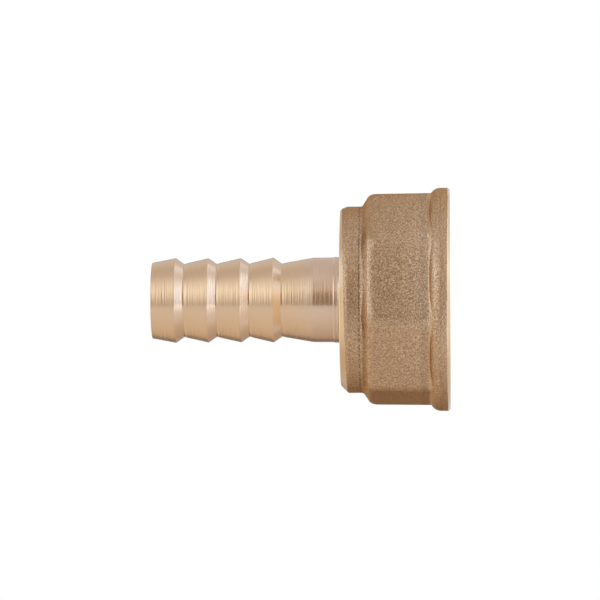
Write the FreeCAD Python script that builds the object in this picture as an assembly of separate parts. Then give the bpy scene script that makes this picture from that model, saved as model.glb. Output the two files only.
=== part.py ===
import FreeCAD, Part
import math
import os

# Threaded hose nipple: one piece of brass, hot forged and then turned.
# It stands on its mouth, whose rim is at z = 0, and its barbed tail points up along Z.
# All sizes are in millimetres.

# Socket: a parallel G 1/2 pipe thread, modelled at its minor diameter
THREAD_MAJOR_D = 20.955
THREAD_MINOR_D = 18.631
MOUTH_CLEARANCE = 0.2
RELIEF_CLEARANCE = 0.1
RELIEF_LENGTH = 1.8
SEAT_CLEARANCE = 0.4
SEAT_RISE = 0.4
END_WALL = 3.6

# Forged body: an octagon for the spanner between a round flange and a round collar
FLATS = 8
BODY_WALL = 1.62
CORNER_ROUND = 0.6
OCTAGON_LENGTH = 7.0
FLANGE_HEIGHT = 2.55
FLANGE_LIP = 0.47
FLANGE_BACK_ROUND = 1.5
MOUTH_EDGE_CHAMFER = 0.35
SHOULDER_ANGLE = 57.0
SHOULDER_ROUND = 1.2
COLLAR_INSET = 0.78
COLLAR_LENGTH = 2.7
COLLAR_ROOT_ROUND = 0.6
COLLAR_CHAMFER = 0.65

# Turned tail: barbs for a hose of 10 mm bore
BORE_D = 7.0
BORE_CHAMFER = 0.3
ROOT_WALL = 1.0
BARB_RISE = 0.7
BARB_COUNT = 4
BARB_RAMP = 3.0
BARB_BACK = 1.0
TIP_RISE = 0.15
TIP_RAMP = 2.9
TAPER_LENGTH = 3.8
LAND_LENGTH = 3.45

# Radii, worked out from the thread and the bore outwards
thread_r = THREAD_MINOR_D / 2
mouth_r = THREAD_MAJOR_D / 2 + MOUTH_CLEARANCE
relief_r = THREAD_MAJOR_D / 2 + RELIEF_CLEARANCE
seat_r = thread_r - SEAT_CLEARANCE
flat_r = relief_r + BODY_WALL
corner_r = flat_r / math.cos(math.pi / FLATS)
flange_r = corner_r + FLANGE_LIP
collar_r = flat_r - COLLAR_INSET
bore_r = BORE_D / 2
root_r = bore_r + ROOT_WALL
crest_r = root_r + BARB_RISE
tip_r = root_r + TIP_RISE

# Heights, worked out from the mouth up
octagon_top = FLANGE_HEIGHT + OCTAGON_LENGTH
shoulder_height = (corner_r - collar_r) / math.tan(math.radians(SHOULDER_ANGLE))
collar_base = octagon_top + shoulder_height
collar_face = collar_base + COLLAR_LENGTH
seat = collar_face - END_WALL
relief_base = seat - RELIEF_LENGTH
land_top = collar_face + LAND_LENGTH
last_root = land_top + TAPER_LENGTH
barb_pitch = BARB_RAMP + BARB_BACK
first_crest = last_root + BARB_BACK + (BARB_COUNT - 1) * barb_pitch
tail_tip = first_crest + TIP_RAMP

ORIGIN = FreeCAD.Vector(0, 0, 0)
AXIS = FreeCAD.Vector(0, 0, 1)
SHARP = 0


def rounded_face(outline):
    """A flat face in the XZ plane. Its outline is a list of (radius, height, rounding)."""
    corners = [FreeCAD.Vector(radius, 0, height) for radius, height, rounding in outline]
    starts, ends, arcs = [], [], []
    for i, corner in enumerate(corners):
        rounding = outline[i][2]
        back = (corners[i - 1] - corner).normalize()
        ahead = (corners[(i + 1) % len(corners)] - corner).normalize()
        half_angle = back.getAngle(ahead) / 2
        reach = rounding / math.tan(half_angle)
        starts.append(corner + back * reach)
        ends.append(corner + ahead * reach)
        if rounding != SHARP:
            inward = (back + ahead).normalize() * (rounding / math.sin(half_angle) - rounding)
            arcs.append(Part.Arc(starts[i], corner + inward, ends[i]).toShape())
    lines = [Part.makeLine(ends[i - 1], starts[i]) for i in range(len(corners))]
    return Part.Face(Part.Wire(Part.__sortEdges__(lines + arcs)))


def turned(outline):
    """The solid that an outline makes when it is turned about the axis."""
    return rounded_face(outline).revolve(ORIGIN, AXIS, 360)


def octagon_bar():
    """Octagonal bar with rounded corners, as long as the fitting, one flat square to +X."""
    corners = []
    for i in range(FLATS + 1):
        angle = (i + 0.5) * 2 * math.pi / FLATS
        corners.append(FreeCAD.Vector(corner_r * math.cos(angle), corner_r * math.sin(angle), 0))
    bar = Part.Face(Part.makePolygon(corners)).extrude(AXIS * tail_tip)
    upright = [edge for edge in bar.Edges if edge.BoundBox.ZLength > tail_tip / 2]
    return bar.makeFillet(CORNER_ROUND, upright)


def barb_outline():
    """The tail's outline from the last root up: steep backs, long ramps, and the tip."""
    outline = []
    for i in range(BARB_COUNT):
        root = last_root + i * barb_pitch
        outline.append((root_r, root, SHARP))
        outline.append((crest_r, root + BARB_BACK, SHARP))
    outline.append((tip_r, tail_tip, SHARP))
    return outline


def turned_envelope():
    """Everything above the flats: the cone that ends them, the collar and the tail."""
    outline = [
        (0, 0, SHARP),
        (corner_r, 0, SHARP),
        (corner_r, octagon_top, SHOULDER_ROUND),
        (collar_r, collar_base, COLLAR_ROOT_ROUND),
        (collar_r, collar_face - COLLAR_CHAMFER, SHARP),
        (collar_r - COLLAR_CHAMFER, collar_face, SHARP),
        (crest_r, collar_face, SHARP),
        (crest_r, land_top, SHARP),
    ]
    return turned(outline + barb_outline() + [(0, tail_tip, SHARP)])


def rim_flange():
    """The round flange at the mouth. Its back is one large rounding."""
    return turned([
        (0, 0, SHARP),
        (flange_r - MOUTH_EDGE_CHAMFER, 0, SHARP),
        (flange_r, MOUTH_EDGE_CHAMFER, SHARP),
        (flange_r, FLANGE_HEIGHT, FLANGE_BACK_ROUND),
        (0, FLANGE_HEIGHT, SHARP),
    ])


def forging():
    """The solid blank. Its cone cuts the flats' ends to scallops, and the flange closes them."""
    body = octagon_bar().common(turned_envelope())
    return body.fuse(rim_flange()).removeSplitter()


def socket_and_bore():
    """The space inside: countersunk mouth, thread, groove round a raised seat, and bore."""
    return turned([
        (0, 0, SHARP),
        (mouth_r, 0, SHARP),
        (thread_r, mouth_r - thread_r, SHARP),
        (thread_r, relief_base, SHARP),
        (relief_r, relief_base + relief_r - thread_r, SHARP),
        (relief_r, seat + SEAT_RISE, SHARP),
        (seat_r, seat + SEAT_RISE, SHARP),
        (seat_r, seat, SHARP),
        (bore_r, seat, SHARP),
        (bore_r, tail_tip - BORE_CHAMFER, SHARP),
        (bore_r + BORE_CHAMFER, tail_tip, SHARP),
        (0, tail_tip, SHARP),
    ])


nipple = forging().cut(socket_and_bore())
os.makedirs("parts", exist_ok=True)
nipple.exportStep("parts/hose_nipple.step")
print("hose_nipple", round(nipple.Volume, 1), "mm3, height", round(tail_tip, 2), "mm")
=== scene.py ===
import math
import bpy
import numpy as np
from mathutils import Matrix, Vector


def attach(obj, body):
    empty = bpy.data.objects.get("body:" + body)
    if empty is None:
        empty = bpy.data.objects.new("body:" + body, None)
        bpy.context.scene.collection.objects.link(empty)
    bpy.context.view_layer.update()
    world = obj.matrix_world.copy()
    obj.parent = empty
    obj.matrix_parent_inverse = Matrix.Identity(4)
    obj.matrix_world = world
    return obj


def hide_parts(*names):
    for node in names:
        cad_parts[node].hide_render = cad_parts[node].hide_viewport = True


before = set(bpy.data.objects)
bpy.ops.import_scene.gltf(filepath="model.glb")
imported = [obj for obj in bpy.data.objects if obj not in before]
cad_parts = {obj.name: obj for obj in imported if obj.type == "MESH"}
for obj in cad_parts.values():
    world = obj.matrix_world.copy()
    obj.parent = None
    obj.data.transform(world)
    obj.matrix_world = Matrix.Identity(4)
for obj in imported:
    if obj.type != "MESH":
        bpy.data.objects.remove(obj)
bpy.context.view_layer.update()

# Threaded hose nipple: a forged and blasted octagonal body, and a turned tail with four barbs. One
# closed surface takes the plain solid's place. It is made of rings, from the mouth's rim over the
# flange, the flats, the collar and the tail, down the bore and back along the thread.
# The rings' sizes are in millimetres. A name that the part's source has too means the same here,
# though its value may differ, because the forging is softer than the plain solid. A size that
# changes round the octagon is given at a flat's middle and at a corner.
MM = 0.001
TURNED, BLASTED, CUT = 0, 1, 2

# Socket: a parallel G 1/2 pipe thread, of Whitworth form
THREAD_MAJOR_D = 20.955
THREAD_MINOR_D = 18.631
THREAD_PITCH = 1.8143
THREAD_FLANK = math.radians(27.5)
THREAD_ROUND = 0.137329 * THREAD_PITCH
THREAD_RINGS = 150
MOUTH_CLEARANCE = 0.2
RELIEF_CLEARANCE = 0.1
RELIEF_LENGTH = 1.8
SEAT_CLEARANCE = 0.4
SEAT_RISE = 0.4
END_WALL = 3.6

# Octagon. Each flat bulges a little and turns over into wide roundings.
FLATS = 8
BODY_WALL = 1.62
FLAT_BULGE = 0.232
FLAT_TURN = math.radians(2.6)
CORNER_ROUND = 2.6
CORNER_STEPS = 8
FLAT_STEPS = 7
OCTAGON_TOP = 9.55
DRAFT = 0.038

# Flange. The chamfer that is turned at the mouth isn't quite even.
FLANGE_LIP = 0.47
FLANGE_HEIGHT = 2.51
FLANGE_BACK_ROUND = 1.36
HOLLOW_ROUND = (0.32, 0.62)
MOUTH_CHAMFER = 0.25
CHAMFER_SWAY = 0.08
CHAMFER_RIPPLE = 0.06
WIDE_SIDE = math.radians(245)
RIPPLE_SIDE = math.radians(250)
FORGED_RIM_START = 0.49

# Shoulder and collar. The collar's face and chamfer are turned a little off centre.
SHOULDER_ANGLE = math.radians(57.0)
SHOULDER_LEAN = (math.radians(46.0), math.radians(59.0))
GENTLE_TURN = (math.radians(26), math.radians(36))
GENTLE_ROUND = (1.0, 1.6)
TIGHT_ROUND = (0.7, 0.45)
COLLAR_ROOT_ROUND = (0.62, 0.3)
COLLAR_INSET = 0.77
COLLAR_LENGTH = 2.7
COLLAR_FOOT_RISE = 0.24
COLLAR_BEND = 1.02
OFF_CENTRE_SIDE = math.radians(168.2)
COLLAR_FACE_INSET = 0.68
COLLAR_FACE_SWAY = 0.2
COLLAR_CHAMFER = 0.52
COLLAR_CHAMFER_SWAY = 0.28
EDGE_ROUND = 0.04

# Tail: barbs for a hose of 10 mm bore. No two crests are quite the same.
BORE_D = 7.0
BORE_CHAMFER = 0.3
ROOT_WALL = 1.0
BARB_RISE = 0.7
BARB_RAMP = 3.0
BARB_BACK = 1.0
CREST_ERRORS = (0.015, -0.02, -0.015, 0.01)
ROOT_GROOVE = 0.42
ROOT_FLAT = 0.16
TIP_RISE = 0.15
TIP_RAMP = 2.9
TAPER_LENGTH = 3.8
LAND_LENGTH = 3.45
LAND_ROUND = 0.9
LAND_ROOT_ROUND = 0.25
LAND_STEPS = ((0.088, 0.197), (0.054, 0.297), (0.052, 0.737), (-0.002, 0.887))

# Wear of the outer edges. It grows with the angle, in radians, by which the surface turns outward
# within a short reach.
WEAR_REACH = 0.12
WEAR_START = 0.12
WEAR_FULL = 0.57

# Radii, worked out from the thread and the bore outwards
thread_r = THREAD_MINOR_D / 2
thread_major_r = THREAD_MAJOR_D / 2
mouth_r = thread_major_r + MOUTH_CLEARANCE
relief_r = thread_major_r + RELIEF_CLEARANCE
seat_r = thread_r - SEAT_CLEARANCE
flat_r = relief_r + BODY_WALL
corner_r = flat_r / math.cos(math.pi / FLATS)
flange_r = corner_r + FLANGE_LIP
collar_r = flat_r - COLLAR_INSET
bore_r = BORE_D / 2
root_r = bore_r + ROOT_WALL
crest_r = root_r + BARB_RISE
tip_r = root_r + TIP_RISE

# Heights, worked out from the mouth up
collar_base = OCTAGON_TOP + (corner_r - collar_r) / math.tan(SHOULDER_ANGLE)
collar_foot = collar_base + COLLAR_FOOT_RISE
collar_face = collar_base + COLLAR_LENGTH
seat = collar_face - END_WALL
relief_base = seat - RELIEF_LENGTH
thread_end = relief_base + relief_r - thread_r
land_top = collar_face + LAND_LENGTH
last_root = land_top + TAPER_LENGTH
barb_pitch = BARB_RAMP + BARB_BACK
first_crest = last_root + BARB_BACK + (len(CREST_ERRORS) - 1) * barb_pitch
tail_tip = first_crest + TIP_RAMP


def octagon_outline():
    """Polar angles and radii once round the octagon.

    Each eighth is two arcs that meet: a tight one from the corner, then one so wide that the flat
    only bulges.
    """
    half_step = math.pi / FLATS
    flat_out = flat_r + FLAT_BULGE
    corner_along = CORNER_ROUND * (math.sin(half_step) - math.sin(FLAT_TURN))
    corner_drop = CORNER_ROUND * (math.cos(FLAT_TURN) - math.cos(half_step))
    width = (flat_out - corner_drop) * math.tan(half_step) - corner_along
    bulge = width / (math.sin(FLAT_TURN) + math.tan(half_step) * (1 - math.cos(FLAT_TURN)))
    corner = np.linspace(half_step, FLAT_TURN, CORNER_STEPS + 1)
    flat = np.linspace(FLAT_TURN, 0, FLAT_STEPS + 1)[1:]
    along = np.concatenate([
        bulge * math.sin(FLAT_TURN) + CORNER_ROUND * (np.sin(corner) - math.sin(FLAT_TURN)),
        bulge * np.sin(flat),
    ])
    inward = np.concatenate([
        bulge * (1 - math.cos(FLAT_TURN)) + CORNER_ROUND * (math.cos(FLAT_TURN) - np.cos(corner)),
        bulge * (1 - np.cos(flat)),
    ])
    from_corner = half_step - np.arctan2(along, flat_out - inward)
    radius = np.hypot(along, flat_out - inward)
    angles = np.concatenate([-from_corner[:0:-1], from_corner[:-1]])
    radii = np.concatenate([radius[:0:-1], radius[:-1]])
    all_angles = [(2 * i + 1) * half_step + angles for i in range(FLATS)]
    return np.concatenate(all_angles), np.tile(radii, FLATS)


theta, octagon = octagon_outline()
to_corner = (octagon - octagon.min()) / (octagon.max() - octagon.min())
rings = []
finishes = []


def from_flat_to_corner(at_flat, at_corner, power=1.0):
    """A size that has one value at a flat's middle and another at a corner."""
    return at_flat + (at_corner - at_flat) * to_corner ** power


def add(radius, height, finish):
    """One more ring of the surface. finish is what lies between the ring before and this one."""
    ring = np.empty((len(theta), 2))
    ring[:, 0] = radius
    ring[:, 1] = height
    rings.append(ring)
    finishes.append(finish)


def trace(outline, finish, steps=4, support=0.07):
    """Rings along a turned outline of (radius, height, rounding).

    A rounding takes a few steps, and a ring beside it keeps its shading off the faces next to it.
    """
    points = [np.array(point[:2], float) for point in outline]
    add(*points[0], finish)
    last = points[0]
    for i in range(1, len(points) - 1):
        rounding = outline[i][2]
        back = points[i - 1] - points[i]
        ahead = points[i + 1] - points[i]
        back = back / np.linalg.norm(back)
        ahead = ahead / np.linalg.norm(ahead)
        half_angle = math.acos(float(back @ ahead)) / 2
        reach = rounding / math.tan(half_angle)
        start = points[i] + back * reach
        end = points[i] + ahead * reach
        inward = (back + ahead) / np.linalg.norm(back + ahead)
        centre = points[i] + inward * rounding / math.sin(half_angle)
        if np.linalg.norm(start - last) > 3 * support:
            add(*(start + back * support), finish)
        first_angle = math.atan2(*(start - centre)[::-1])
        last_angle = math.atan2(*(end - centre)[::-1])
        turn = (last_angle - first_angle + math.pi) % (2 * math.pi) - math.pi
        for k in range(steps + 1):
            a = first_angle + turn * k / steps
            add(*(centre + rounding * np.array([math.cos(a), math.sin(a)])), finish)
        last = end
        if np.linalg.norm(points[i + 1] - end) > 3 * support:
            last = end + ahead * support
            add(*last, finish)
    add(*points[-1], finish)


def mouth_face():
    """The turned face at the mouth and its chamfer, with slightly broken edges."""
    edge = ((-0.016, 0.0), (0.0, 0.006), (0.014, 0.014))
    sway = CHAMFER_SWAY * np.cos(theta - WIDE_SIDE)
    ripple = CHAMFER_RIPPLE * np.cos(2 * (theta - RIPPLE_SIDE))
    cut = MOUTH_CHAMFER + sway + ripple
    add(mouth_r, 0, TURNED)
    add(flange_r - cut - 0.04, 0, TURNED)
    for outward, upward in edge:
        add(flange_r - cut + outward, upward, TURNED)
    for outward, upward in reversed(edge):
        add(flange_r - upward, cut - outward, TURNED)
    add(flange_r, cut + 0.05, TURNED)


def flange():
    """The flange's rim and rounded back, and the hollow in which the flats start.

    Returns the height at which each column of the surface comes out of the hollow.
    """
    hollow = from_flat_to_corner(*HOLLOW_ROUND)
    back_r = flange_r - FLANGE_BACK_ROUND
    back_z = FLANGE_HEIGHT - FLANGE_BACK_ROUND
    hollow_r = octagon + DRAFT + hollow
    hollow_z = back_z + np.sqrt((FLANGE_BACK_ROUND + hollow) ** 2 - (hollow_r - back_r) ** 2)
    meeting = np.arctan2(hollow_z - back_z, hollow_r - back_r)
    add(flange_r, FORGED_RIM_START, BLASTED)
    add(flange_r, back_z - 0.12, BLASTED)
    for k in range(13):
        a = meeting * k / 12
        add(back_r + FLANGE_BACK_ROUND * np.cos(a), back_z + FLANGE_BACK_ROUND * np.sin(a), BLASTED)
    for k in range(1, 7):
        a = meeting * (1 - k / 6) + math.pi
        add(hollow_r + hollow * np.cos(a), hollow_z + hollow * np.sin(a), BLASTED)
    return hollow_z


def flats_and_shoulder(flat_start):
    """The flats, and the shoulder from them to the collar's foot.

    The shoulder leans less at a flat's middle than at a corner, so the flats end in scallops. It
    is a gentle rounding, a tight one, a straight stretch and the collar's root. The rings lie
    closest together at the flats' ends.
    """
    base_r = octagon + DRAFT
    top_r = octagon - DRAFT
    lean = from_flat_to_corner(*SHOULDER_LEAN, power=0.5)
    gentle_turn = from_flat_to_corner(*GENTLE_TURN)
    gentle = from_flat_to_corner(*GENTLE_ROUND)
    tight = from_flat_to_corner(*TIGHT_ROUND)
    root = from_flat_to_corner(*COLLAR_ROOT_ROUND)
    gentle_in = gentle * (1 - np.cos(gentle_turn))
    gentle_up = gentle * np.sin(gentle_turn)
    tight_in = tight * (np.cos(gentle_turn) - np.cos(lean))
    tight_up = tight * (np.sin(lean) - np.sin(gentle_turn))
    root_in = root * (1 - np.cos(lean))
    root_up = root * np.sin(lean)
    straight_in = top_r - collar_r - gentle_in - tight_in - root_in
    straight_up = straight_in / np.tan(lean)
    flat_end = collar_foot - gentle_up - tight_up - straight_up - root_up
    for k in (0.012, 0.04, 0.12, 0.25, 0.4, 0.55, 0.7, 0.84, 0.94, 0.985, 1.0):
        add(base_r + (top_r - base_r) * k, flat_start + (flat_end - flat_start) * k, BLASTED)
    for k in range(1, 7):
        a = gentle_turn * k / 6
        add(top_r - gentle * (1 - np.cos(a)), flat_end + gentle * np.sin(a), BLASTED)
    for k in range(1, 5):
        a = gentle_turn + (lean - gentle_turn) * k / 4
        inward = gentle_in + tight * (np.cos(gentle_turn) - np.cos(a))
        upward = gentle_up + tight * (np.sin(a) - np.sin(gentle_turn))
        add(top_r - inward, flat_end + upward, BLASTED)
    for k in (0.67, 0.34):
        add(collar_r + root_in + straight_in * k, collar_foot - root_up - straight_up * k, BLASTED)
    for k in range(8):
        a = lean * (1 - k / 7)
        add(collar_r + root * (1 - np.cos(a)), collar_foot - root * np.sin(a), BLASTED)


def collar():
    """The collar's forged side, which bends in at the top, and then its turned chamfer."""
    off_centre = np.cos(theta - OFF_CENTRE_SIDE)
    face_r = collar_r - COLLAR_FACE_INSET - COLLAR_FACE_SWAY * off_centre
    chamfer = COLLAR_CHAMFER + COLLAR_CHAMFER_SWAY * off_centre
    cut_r = face_r + chamfer
    cut_z = collar_face - chamfer
    side_end = collar_face - COLLAR_BEND
    for k in (0.08, 0.9, 1.0):
        add(collar_r, collar_foot + (side_end - collar_foot) * k, BLASTED)
    bend = 0.4
    for k in (0.12, 0.24, 0.36, 0.48, 0.62, 0.8, 0.94, 1.0):
        fall = k * k / (2 * bend) if k < bend else k - bend / 2
        inward = (collar_r - cut_r) * fall / (1 - bend / 2)
        add(collar_r - inward, side_end + (cut_z - side_end) * k, BLASTED)
    add(cut_r - 0.03, cut_z + 0.03, TURNED)
    add(face_r + 0.09, collar_face - 0.09, TURNED)
    round_r = face_r - EDGE_ROUND * math.tan(math.radians(22.5))
    round_z = collar_face - EDGE_ROUND
    for k in range(5):
        a = math.radians(45 + 45 * k / 4)
        add(round_r + EDGE_ROUND * math.cos(a), round_z + EDGE_ROUND * math.sin(a), TURNED)


def tail():
    """The collar's flat face, the land with its small steps, the taper, the barbs and the bore."""
    land_r = crest_r - 0.015
    land_end = land_top - 0.1
    face_start = collar_r - COLLAR_FACE_INSET - COLLAR_FACE_SWAY - 0.15
    outline = [(face_start, collar_face, 0), (crest_r + 0.095, collar_face, LAND_ROOT_ROUND)]
    outline += [(crest_r + rise, collar_face + height, 0.02) for rise, height in LAND_STEPS]
    outline.append((land_r, land_end, LAND_ROUND))
    slope = (land_r - root_r) / (last_root - land_end)
    for i, error in enumerate(CREST_ERRORS):
        root = last_root + i * barb_pitch
        outline += [
            (root_r + slope * ROOT_GROOVE, root - ROOT_GROOVE, 0.03),
            (root_r, root - ROOT_FLAT, 0.03),
            (root_r, root, 0.04),
            (crest_r + error, root + BARB_BACK, 0.05),
        ]
        slope = BARB_RISE / BARB_RAMP
    outline += [
        (tip_r, tail_tip, 0.08),
        (bore_r + BORE_CHAMFER, tail_tip, 0.03),
        (bore_r, tail_tip - BORE_CHAMFER, 0.05),
        (bore_r, seat + 0.06, 0),
    ]
    trace(outline, TURNED)


def washer_seat():
    """The washer's seat with its raised ring, and the groove round it."""
    ring = seat + SEAT_RISE
    trace([
        (bore_r + 0.06, seat, 0),
        (seat_r, seat, 0.04),
        (seat_r, ring, 0.05),
        (relief_r, ring, 0.12),
        (relief_r, thread_end + 0.1, 0),
    ], TURNED)


def thread_wall(height):
    """Radius of the full thread at a height: round crests and roots with straight flanks."""
    turn = (height / THREAD_PITCH - theta / (2 * math.pi)) % 1.0
    from_root = np.abs(turn - 0.5) * THREAD_PITCH
    from_crest = THREAD_PITCH / 2 - from_root
    round_width = THREAD_ROUND * math.cos(THREAD_FLANK)
    round_depth = THREAD_ROUND * (1 - math.sin(THREAD_FLANK))
    root = THREAD_ROUND - np.sqrt(np.maximum(THREAD_ROUND ** 2 - from_root ** 2, 0))
    crest = THREAD_ROUND - np.sqrt(np.maximum(THREAD_ROUND ** 2 - from_crest ** 2, 0))
    flank = round_depth + (from_root - round_width) / math.tan(THREAD_FLANK)
    rise = np.where(from_crest < round_width, thread_major_r - thread_r - crest, flank)
    rise = np.where(from_root < round_width, root, rise)
    return thread_major_r - rise


def thread():
    """The thread, from the groove down to the mouth, with both of its ends cut off at 45 degrees.

    Where a cut meets the thread's wall, the edge is soft.
    """
    soft = 0.05
    for height in np.linspace(thread_end, 0.05, THREAD_RINGS):
        wall = thread_wall(height)
        cut = max(thread_r + height - relief_base, mouth_r - height)
        blur = np.maximum(soft - np.abs(wall - cut), 0) ** 2 / (4 * soft)
        add(np.minimum(np.maximum(wall, cut) + blur, max(relief_r, mouth_r - height)), height, CUT)
    add(mouth_r - 0.02, 0.02, CUT)


def turning_nearby(start, reach):
    """How far a closed line of points turns outward close to each of its points, in radians."""
    before = start - np.roll(start, 1, axis=0)
    after = np.roll(start, -1, axis=0) - start
    length = np.linalg.norm(after, axis=1)
    turned_by = np.arctan2(
        before[:, 0] * after[:, 1] - before[:, 1] * after[:, 0],
        (before * after).sum(axis=1),
    )
    at = np.concatenate([[0.0], np.cumsum(length)[:-1]])
    gap = np.abs(at[:, None] - at[None, :])
    gap = np.minimum(gap, length.sum() - gap)
    return (np.exp(-(gap / reach) ** 2) * turned_by[None, :]).sum(axis=1)


def surface(name):
    """The closed mesh of all the rings. Its wear attribute is 1 on worn outer edges."""
    grid = np.array(rings)
    ring_count, count = grid.shape[:2]
    points = np.empty((ring_count, count, 3))
    points[:, :, 0] = grid[:, :, 0] * np.cos(theta)
    points[:, :, 1] = grid[:, :, 0] * np.sin(theta)
    points[:, :, 2] = grid[:, :, 1]
    row, column = np.meshgrid(np.arange(ring_count), np.arange(count), indexing="ij")
    next_row = (row + 1) % ring_count
    next_column = (column + 1) % count
    faces = np.stack([
        row * count + column,
        row * count + next_column,
        next_row * count + next_column,
        next_row * count + column,
    ], axis=-1).reshape(-1, 4)
    mesh = bpy.data.meshes.new(name)
    mesh.from_pydata((points.reshape(-1, 3) * MM).tolist(), [], faces.tolist())
    finish_after_ring = np.roll(finishes, -1)
    mesh.polygons.foreach_set("material_index", np.repeat(finish_after_ring, count))
    mesh.polygons.foreach_set("use_smooth", np.ones(len(faces), bool))
    mesh.update()
    turning = np.empty((ring_count, count))
    for j in range(count):
        turning[:, j] = turning_nearby(grid[:, j, :], WEAR_REACH)
    worn = np.clip((turning - WEAR_START) / (WEAR_FULL - WEAR_START), 0, 1)
    wear = mesh.attributes.new("wear", "FLOAT", "POINT")
    wear.data.foreach_set("value", worn.reshape(-1))
    return mesh


# Directions of the photo: toward the camera, and the picture's up
AXIS = Vector((0.0, 0.0, 1.0))
CAMERA_AZIMUTH = math.radians(-101.8)
toward = Vector((math.cos(CAMERA_AZIMUTH), math.sin(CAMERA_AZIMUTH), 0.0))
image_up = Vector((-toward.y, toward.x, 0.0))


def direction_at(degrees_round, degrees_up):
    """A direction, from its angle round the axis from the camera and its angle toward the tail."""
    round_axis = math.radians(degrees_round)
    up_axis = math.radians(degrees_up)
    outward = toward * math.cos(round_axis) + image_up * math.sin(round_axis)
    return outward * math.cos(up_axis) + AXIS * math.sin(up_axis)


class Nodes:
    """A node tree, and short ways to add nodes to it. A value may be a number, a vector, a colour
    of red, green and blue, or a socket to link."""

    def __init__(self, tree):
        self.tree = tree

    def put(self, socket, value):
        """Links or sets one input."""
        if isinstance(value, bpy.types.NodeSocket):
            self.tree.links.new(value, socket)
        elif socket.type == "RGBA":
            socket.default_value = (*value, 1.0)
        else:
            socket.default_value = value

    def make(self, kind, **inputs):
        """A node with some named inputs."""
        made = self.tree.nodes.new("ShaderNode" + kind)
        for name, value in inputs.items():
            self.put(made.inputs[name.replace("_", " ")], value)
        return made

    def operate(self, kind, operation, values):
        """A node of maths."""
        made = self.make(kind)
        made.operation = operation
        for socket, value in zip(made.inputs, values):
            self.put(socket, value)
        return made

    def maths(self, operation, *values):
        return self.operate("Math", operation, values).outputs[0]

    def vector_maths(self, operation, *values):
        return self.operate("VectorMath", operation, values).outputs["Vector"]

    def plus(self, first, second):
        return self.maths("ADD", first, second)

    def minus(self, first, second):
        return self.maths("SUBTRACT", first, second)

    def times(self, first, second):
        return self.maths("MULTIPLY", first, second)

    def length(self, vector):
        return self.operate("VectorMath", "LENGTH", [vector]).outputs["Value"]

    def along(self, vector, direction):
        """How far a vector reaches in a fixed direction."""
        made = self.operate("VectorMath", "DOT_PRODUCT", [vector, tuple(direction)])
        return made.outputs["Value"]

    def coordinate(self, name):
        return self.make("TexCoord").outputs[name]

    def split(self, vector):
        """The X, Y and Z of a vector."""
        return self.make("SeparateXYZ", Vector=vector).outputs

    def step(self, value, low, high):
        """0 on the side of low and 1 on the side of high, smooth between them."""
        made = self.make("MapRange", Value=value)
        made.interpolation_type = "SMOOTHSTEP"
        made.inputs["From Min"].default_value = low
        made.inputs["From Max"].default_value = high
        return made.outputs["Result"]

    def between(self, value, low, high, soft):
        """1 from low to high and 0 outside, with both ends soft on the inside."""
        return self.minus(self.step(value, low, low + soft), self.step(value, high - soft, high))

    def ramp(self, value, stops):
        """The colour at a value on a ramp of (position, colour)."""
        made = self.make("ValToRGB", Fac=value)
        elements = made.color_ramp.elements
        while len(elements) < len(stops):
            elements.new(0.5)
        for element, (position, colour) in zip(elements, stops):
            element.position = position
            element.color = (*colour, 1.0)
        return made.outputs["Color"]

    def blend(self, share, first, second):
        """A mix of two colours, with a share of the second."""
        made = self.make("Mix", Factor=share)
        made.data_type = "RGBA"
        self.put(made.inputs[6], first)
        self.put(made.inputs[7], second)
        return made.outputs[2]

    def noise(self, vector, scale, detail=2.0, roughness=0.5):
        """Noise of about 0.5 in the mean."""
        made = self.make("TexNoise", Vector=vector, Scale=scale, Detail=detail, Roughness=roughness)
        return made.outputs["Fac"]

    def mix_shaders(self, share, first, second):
        """Two shaders, with a share of the second."""
        made = self.make("MixShader")
        for socket, value in zip(made.inputs, (share, first, second)):
            self.put(socket, value)
        return made.outputs[0]

    def seen_by_metal(self):
        """1 where a mirrored or refracted ray looks, else 0."""
        path = self.make("LightPath")
        return self.plus(path.outputs["Is Glossy Ray"], path.outputs["Is Transmission Ray"])


def metal(name):
    """A new metal. Returns the material, its nodes and its shader."""
    made = bpy.data.materials.new(name)
    made.use_nodes = True
    shader = made.node_tree.nodes["Principled BSDF"]
    shader.inputs["Metallic"].default_value = 1.0
    return made, Nodes(made.node_tree), shader


def lathe_marks(nodes):
    """Height of the tool's marks: noise over radius and height, so that it runs round the axis."""
    where = nodes.coordinate("Object")
    parts = nodes.split(where)
    radius = nodes.length(nodes.make("CombineXYZ", X=parts["X"], Y=parts["Y"]).outputs["Vector"])
    profile = nodes.make("CombineXYZ", X=radius, Y=parts["Z"]).outputs["Vector"]
    around = nodes.vector_maths("MULTIPLY", where, (0.09, 0.09, 1.0))
    fine = nodes.times(nodes.noise(profile, 11000.0, 1.0), 0.5)
    broad = nodes.times(nodes.noise(profile, 4000.0, 1.0), 0.55)
    drift = nodes.times(nodes.noise(around, 4200.0), 0.6)
    return nodes.plus(fine, nodes.plus(broad, drift))


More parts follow.
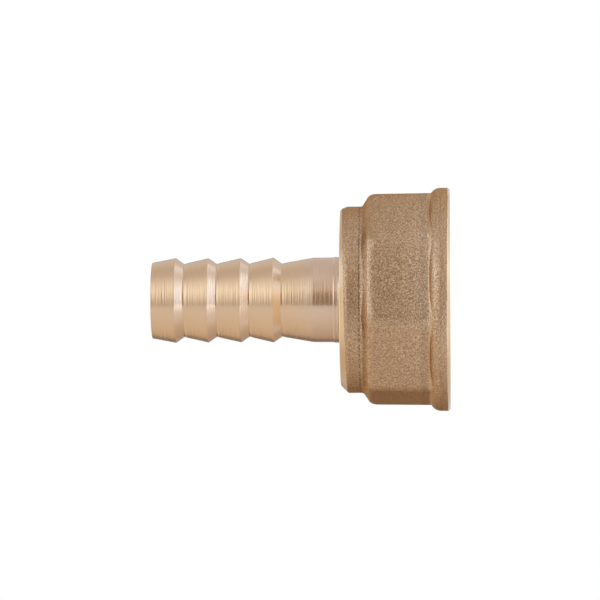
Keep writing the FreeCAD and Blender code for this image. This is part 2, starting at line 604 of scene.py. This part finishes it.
def turned_brass():
    """Bright brass with fine lathe marks. The colour changes along the tail with the cutting, and a
    painted highlight makes the collar's end face and the barbs' backs, which face the mouth, paler.
    """
    mouth, painted_face_highlight = (0.66, 0.46, 0.295), (0.92, 0.83, 0.72)
    land, barbs, painted_barb_back_highlight = (0.76, 0.555, 0.41), (0.78, 0.55, 0.365), (0.82, 0.60, 0.425)
    made, nodes, shader = metal("turned_brass")
    height = nodes.split(nodes.coordinate("Object"))["Z"]
    ramp_end = 40.0
    # The collar's end face gets a pale colour: a painted highlight.
    colour = nodes.ramp(nodes.times(height, 1 / (ramp_end * MM)), [
        ((collar_face - 0.03) / ramp_end, mouth),
        ((collar_face - 0.01) / ramp_end, painted_face_highlight),
        ((collar_face + 0.02) / ramp_end, painted_face_highlight),
        ((collar_face + 0.10) / ramp_end, land),
        (land_top / ramp_end, land),
        ((land_top + 2.0) / ramp_end, barbs),
    ])
    downward = nodes.step(nodes.split(nodes.coordinate("Normal"))["Z"], -0.35, -0.5)
    on_barbs = nodes.step(height, land_top * MM, (last_root + barb_pitch) * MM)
    # The barbs' backs, which face down toward the mouth, get a paler colour: a painted highlight.
    colour = nodes.blend(nodes.times(downward, on_barbs), colour, painted_barb_back_highlight)
    nodes.put(shader.inputs["Base Color"], colour)
    shader.inputs["Roughness"].default_value = 0.2
    shader.inputs["Anisotropic"].default_value = 0.7
    shader.inputs["Anisotropic Rotation"].default_value = 0.25
    tangent = nodes.make("Tangent")
    tangent.direction_type = "RADIAL"
    tangent.axis = "Z"
    nodes.put(shader.inputs["Tangent"], tangent.outputs["Tangent"])
    depth = nodes.minus(1.0, nodes.times(downward, 0.6))
    bump = nodes.make("Bump", Height=lathe_marks(nodes), Strength=depth, Distance=0.00004)
    nodes.put(shader.inputs["Normal"], bump.outputs["Normal"])
    return made


def forged_colour(nodes, where, wear, pits):
    """The blasted skin's colour: speckled, pale where worn, with dark dots round the collar's foot.
    Painted shade darkens the collar's root, the flats next to the flange and the rim, the rim most
    toward image_up; a painted highlight lightens the flange's back where the flats start.
    """
    dark, middle, light = (0.305, 0.190, 0.113), (0.535, 0.348, 0.214), (0.78, 0.535, 0.345)
    worn, painted_shade, dark_dots = (0.70, 0.49, 0.32), (0.26, 0.165, 0.10), (0.20, 0.155, 0.125)
    rim, painted_highlight = (0.36, 0.198, 0.100), (0.72, 0.51, 0.34)
    height = nodes.maths("DIVIDE", nodes.split(where)["Z"], MM)
    speckle = nodes.noise(where, 5600.0, 2.0, 0.6)
    colour = nodes.ramp(speckle, [(0.3, dark), (0.5, middle), (0.7, light)])
    colour = nodes.blend(nodes.times(wear, 0.25), colour, worn)
    # Painted shade in the collar's root.
    shade_in_root = nodes.between(height, collar_foot - 0.8, collar_foot - 0.1, 0.3)
    colour = nodes.blend(nodes.times(shade_in_root, 0.3), colour, painted_shade)
    # Dark dots in a narrow band round the collar's foot.
    at_foot = nodes.between(height, collar_foot - 0.07, collar_foot + 0.19, 0.06)
    in_pits = nodes.times(at_foot, nodes.step(pits, 0.40, 0.58))
    colour = nodes.blend(nodes.times(in_pits, 0.8), colour, dark_dots)
    # Painted shade darkens the rim, more on the side toward image_up.
    rim_end = FLANGE_HEIGHT - FLANGE_BACK_ROUND
    on_rim = nodes.step(height, rim_end + 0.27, rim_end - 0.03)
    shaded_upper_side = nodes.step(nodes.along(where, image_up), -0.007, 0.001)
    rim_shade_share = nodes.plus(0.60, nodes.times(shaded_upper_side, 0.32))
    colour = nodes.blend(nodes.times(on_rim, rim_shade_share), colour, rim)
    # Painted shade on the flats next to the flange.
    shade_by_flange = nodes.between(height, FLANGE_HEIGHT - 0.11, FLANGE_HEIGHT + 1.44, 0.7)
    colour = nodes.blend(nodes.times(shade_by_flange, 0.28), colour, painted_shade)
    # A painted highlight lightens the flange's back where the flats start.
    highlight_in_hollow = nodes.between(height, FLANGE_HEIGHT - 0.36, FLANGE_HEIGHT + 0.14, 0.15)
    return nodes.blend(nodes.times(highlight_in_hollow, 0.58), colour, painted_highlight)


def blasted_brass():
    """Dull brass with a grainy skin, which is worn smoother on the outer edges."""
    made, nodes, shader = metal("blasted_brass")
    where = nodes.coordinate("Object")
    worn = nodes.make("Attribute")
    worn.attribute_name = "wear"
    wear = worn.outputs["Fac"]
    grain = nodes.noise(where, 6500.0, 2.0, 0.6)
    pits = nodes.noise(where, 3300.0, 2.0, 0.6)
    dents = nodes.noise(where, 700.0, 1.0)
    nodes.put(shader.inputs["Base Color"], forged_colour(nodes, where, wear, pits))
    nodes.put(shader.inputs["Roughness"], nodes.minus(0.34, nodes.times(wear, 0.06)))
    nodes.put(shader.inputs["Specular Tint"], (0.75, 0.55, 0.38))
    relief = nodes.plus(nodes.plus(grain, nodes.times(pits, 0.9)), nodes.times(dents, 0.8))
    bump = nodes.make("Bump", Height=relief, Strength=1.0, Distance=0.00006)
    nodes.put(shader.inputs["Normal"], bump.outputs["Normal"])
    return made


def thread_brass():
    """Plain bright brass inside the socket."""
    made, nodes, shader = metal("cut_thread_brass")
    nodes.put(shader.inputs["Base Color"], (0.77, 0.54, 0.35))
    nodes.put(shader.inputs["Roughness"], 0.24)
    return made


def place(name, data):
    """A new object in the scene."""
    made = bpy.data.objects.new(name, data)
    bpy.context.scene.collection.objects.link(made)
    return made


def add_camera():
    """A long lens, nearly square to the axis, with the tail to the left of the picture."""
    distance, height, aimed_height, roll = 0.552, 0.0003, 0.01843, 0.0045
    position = toward * distance + AXIS * height
    aim = AXIS * aimed_height
    back = (position - aim).normalized()
    level_right = (AXIS.dot(back) * back - AXIS).normalized()
    level_up = back.cross(level_right)
    right = level_right * math.cos(roll) - level_up * math.sin(roll)
    up = level_up * math.cos(roll) + level_right * math.sin(roll)
    lens = bpy.data.cameras.new("camera")
    lens.lens = 270.0
    lens.sensor_width = 36.0
    lens.clip_start = 0.01
    lens.clip_end = 10.0
    camera = place("camera", lens)
    turned_to = Matrix((right, up, back)).transposed().to_4x4()
    camera.matrix_world = Matrix.Translation(position) @ turned_to
    bpy.context.scene.camera = camera


# The studio that the metal mirrors. Ramps hold shares of the brightest light in it, and their
# angles run round the axis from the camera, upward in the picture positive.
BRIGHTEST = 4.0
PATCH_SPAN = 100.0


def level(red, green, blue):
    """A brightness in each colour, as a share of the brightest."""
    return (red / BRIGHTEST, green / BRIGHTEST, blue / BRIGHTEST)


def tones(stops):
    """Ramp stops from (degrees round the axis, red, green, blue)."""
    return [(degrees / 360 + 0.5, level(*colour)) for degrees, *colour in stops]


def tones_across(stops):
    """Ramp stops from (millimetres up the picture from the axis, red, green, blue)."""
    return [(up / PATCH_SPAN + 0.5, level(*colour)) for up, *colour in stops]


def angle_round_axis(nodes, vector):
    """Angle of a vector round the axis, as a position on a ramp of tones."""
    angle = nodes.maths("ARCTAN2", nodes.along(vector, image_up), nodes.along(vector, toward))
    return nodes.plus(nodes.maths("DIVIDE", angle, 2 * math.pi), 0.5)


# Walls level with the metal, darkest round the camera and low down behind the part
LEVEL = tones([
    (-180, 0.56, 0.48, 0.39),
    (-165, 0.46, 0.39, 0.31),
    (-156, 0.30, 0.24, 0.185),
    (-146, 0.24, 0.19, 0.145),
    (-136, 0.34, 0.275, 0.22),
    (-120, 0.57, 0.48, 0.40),
    (-94, 0.66, 0.58, 0.50),
    (-72, 0.735, 0.665, 0.61),
    (-53, 0.79, 0.765, 0.73),
    (-36, 0.81, 0.80, 0.79),
    (-16, 0.80, 0.80, 0.80),
    (-14, 0.26, 0.22, 0.17),
    (14, 0.345, 0.245, 0.15),
    (19, 0.41, 0.31, 0.205),
    (28, 0.66, 0.57, 0.465),
    (40, 0.60, 0.56, 0.51),
    (50, 0.69, 0.67, 0.66),
    (66, 0.74, 0.72, 0.72),
    (87, 0.71, 0.70, 0.70),
    (112, 0.69, 0.68, 0.69),
    (150, 0.70, 0.69, 0.69),
    (180, 0.4, 0.37, 0.35),
])

# Walls higher up
RAISED = tones([
    (-180, 0.60, 0.55, 0.47),
    (-140, 0.82, 0.72, 0.59),
    (-120, 0.77, 0.67, 0.56),
    (-93, 0.82, 0.75, 0.65),
    (-70, 0.81, 0.77, 0.70),
    (-50, 0.80, 0.79, 0.76),
    (-31, 0.81, 0.81, 0.80),
    (-16, 0.73, 0.73, 0.73),
    (3, 0.86, 0.86, 0.83),
    (20, 1.08, 1.14, 1.11),
    (38, 1.18, 1.28, 1.27),
    (57, 0.98, 0.98, 0.98),
    (77, 0.71, 0.69, 0.68),
    (101, 0.61, 0.59, 0.57),
    (135, 0.86, 0.84, 0.78),
    (180, 0.64, 0.60, 0.54),
])

# The floor further out
FLOOR = tones([
    (-180, 0.42, 0.34, 0.26),
    (-140, 0.50, 0.41, 0.33),
    (-120, 0.57, 0.48, 0.40),
    (-94, 0.66, 0.58, 0.50),
    (-72, 0.735, 0.665, 0.61),
    (-53, 0.79, 0.765, 0.73),
    (-36, 0.81, 0.80, 0.79),
    (-17, 0.79, 0.78, 0.76),
    (-14, 0.33, 0.285, 0.225),
    (14, 0.40, 0.295, 0.19),
    (28, 0.66, 0.57, 0.465),
    (40, 0.60, 0.56, 0.51),
    (66, 0.74, 0.72, 0.72),
    (150, 0.70, 0.69, 0.69),
    (180, 0.4, 0.37, 0.35),
])

# The floor's lit patch
PATCH = tones_across([
    (-41, 0.56, 0.44, 0.34),
    (-30, 0.78, 0.72, 0.68),
    (-24, 0.95, 0.98, 1.08),
    (-19, 0.80, 0.84, 0.94),
    (-13, 1.28, 1.42, 1.62),
    (-6, 2.25, 2.8, 3.6),
    (0, 2.3, 2.95, 3.9),
    (8, 2.35, 3.0, 4.0),
    (16, 2.1, 2.7, 3.45),
    (30, 1.3, 1.6, 2.1),
    (44, 0.95, 1.0, 1.1),
])

# The same patch close under the rim, where it is dimmer
UNDER_RIM = tones_across([
    (-13, 0.8, 0.825, 0.887),
    (-8, 0.95, 0.963, 1.013),
    (-4, 1.15, 1.25, 1.363),
    (0, 1.212, 1.325, 1.462),
    (4, 1.425, 1.625, 1.85),
    (7.5, 1.15, 1.25, 1.4),
    (10.5, 1.05, 1.1, 1.2),
    (13.5, 0.75, 0.775, 0.862),
])


def studio_walls(nodes):
    """The walls' colour in each direction, with a softbox, a spot beside it and a pale ceiling."""
    direction = nodes.coordinate("Generated")
    height = nodes.split(direction)["Z"]
    angle = angle_round_axis(nodes, direction)
    raised = nodes.step(height, 0.14, 0.42)
    walls = nodes.blend(raised, nodes.ramp(angle, LEVEL), nodes.ramp(angle, RAISED))
    walls = nodes.blend(nodes.step(height, 0.75, 0.97), walls, level(1.12, 1.09, 0.96))
    box_round, box_up = 16, 56
    ahead = nodes.maths("MAXIMUM", nodes.along(direction, direction_at(box_round, box_up)), 0.05)
    sideways = nodes.along(direction, direction_at(box_round + 90, 0))
    upward = nodes.along(direction, direction_at(box_round, box_up + 90))
    sideways = nodes.maths("DIVIDE", sideways, ahead)
    upward = nodes.maths("DIVIDE", upward, ahead)
    in_width = nodes.minus(nodes.step(sideways, -0.38, 0.02), nodes.step(sideways, 0.14, 0.40))
    in_height = nodes.minus(nodes.step(upward, -0.5, -0.32), nodes.step(upward, 0.22, 0.38))
    walls = nodes.blend(nodes.times(in_width, in_height), walls, level(1.36, 1.42, 1.5))
    in_spot = nodes.step(nodes.along(direction, direction_at(62, 63)), 0.945, 0.985)
    return nodes.blend(in_spot, walls, level(1.38, 1.8, 2.4))


def add_world():
    """White to the camera, the studio to metal, and a plain level of light to the rest."""
    world = bpy.data.worlds.new("studio")
    world.use_nodes = True
    world.node_tree.nodes.clear()
    bpy.context.scene.world = world
    nodes = Nodes(world.node_tree)
    white = (1.0, 1.0, 1.0)
    seen = nodes.make("Background", Color=white, Strength=1.0).outputs[0]
    mirrored = nodes.make("Background", Color=studio_walls(nodes), Strength=BRIGHTEST).outputs[0]
    plain = nodes.make("Background", Color=white, Strength=0.5).outputs[0]
    lit = nodes.mix_shaders(nodes.seen_by_metal(), plain, mirrored)
    by_camera = nodes.make("LightPath").outputs["Is Camera Ray"]
    nodes.make("OutputWorld", Surface=nodes.mix_shaders(by_camera, lit, seen))


def floor_glow(nodes):
    """The floor as metal sees it: a lit patch round the part, and the walls' tones further out.

    The distances are in metres.
    """
    where = nodes.coordinate("Object")
    away = nodes.length(where)
    upward = nodes.along(where, image_up)
    across = nodes.plus(nodes.times(upward, 1 / (PATCH_SPAN * MM)), 0.5)
    outside_rim = nodes.step(away, 0.0140, 0.0156)
    patch = nodes.blend(outside_rim, nodes.ramp(across, UNDER_RIM), nodes.ramp(across, PATCH))
    far = nodes.ramp(angle_round_axis(nodes, where), FLOOR)
    strip = nodes.minus(nodes.step(upward, 0.034, 0.047), nodes.step(away, 0.055, 0.075))
    far = nodes.blend(nodes.maths("MAXIMUM", strip, 0.0), far, level(1.05, 1.15, 1.32))
    from_patch = nodes.length(nodes.vector_maths("ADD", where, tuple(toward * 0.006)))
    return nodes.blend(nodes.step(from_patch, 0.018, 0.033), patch, far)


def paper():
    """White paper, which metal sees as the glow."""
    made = bpy.data.materials.new("white_floor")
    made.use_nodes = True
    nodes = Nodes(made.node_tree)
    shader = made.node_tree.nodes["Principled BSDF"]
    nodes.put(shader.inputs["Base Color"], (0.9, 0.9, 0.9))
    nodes.put(shader.inputs["Roughness"], 0.8)
    nodes.put(shader.inputs["Specular IOR Level"], 0.0)
    nodes.put(shader.inputs["Emission Color"], (1.0, 1.0, 1.0))
    nodes.put(shader.inputs["Emission Strength"], 0.3)
    glow = nodes.make("Emission", Color=floor_glow(nodes), Strength=BRIGHTEST).outputs[0]
    mixed = nodes.mix_shaders(nodes.seen_by_metal(), shader.outputs[0], glow)
    nodes.put(made.node_tree.nodes["Material Output"].inputs["Surface"], mixed)
    return made


def add_floor():
    """A round floor just under the mouth."""
    radius, sides = 0.3, 96
    angles = [2 * math.pi * k / sides for k in range(sides)]
    mesh = bpy.data.meshes.new("floor")
    rim = [(radius * math.cos(a), radius * math.sin(a), 0.0) for a in angles]
    mesh.from_pydata(rim, [], [list(range(sides))])
    mesh.materials.append(paper())
    floor = place("floor", mesh)
    floor.location.z = -0.00002


def add_lamp():
    """A soft lamp above and in front, which metal doesn't mirror."""
    lamp = bpy.data.lights.new("softbox", "AREA")
    lamp.shape = "DISK"
    lamp.size = 0.45
    lamp.energy = 3.0
    softbox = place("softbox", lamp)
    softbox.location = toward * 0.35 + image_up * 0.3 + AXIS * 0.5
    softbox.rotation_euler = (-softbox.location).to_track_quat("-Z", "Y").to_euler()
    softbox.visible_glossy = False


mouth_face()
flats_and_shoulder(flange())
collar()
tail()
washer_seat()
thread()
nipple = place("nipple", surface("nipple_surface"))
for material in (turned_brass(), blasted_brass(), thread_brass()):
    nipple.data.materials.append(material)
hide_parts("hose_nipple")
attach(nipple, "root")

add_camera()
add_world()
add_floor()
add_lamp()
bpy.context.scene.view_settings.view_transform = "Standard"
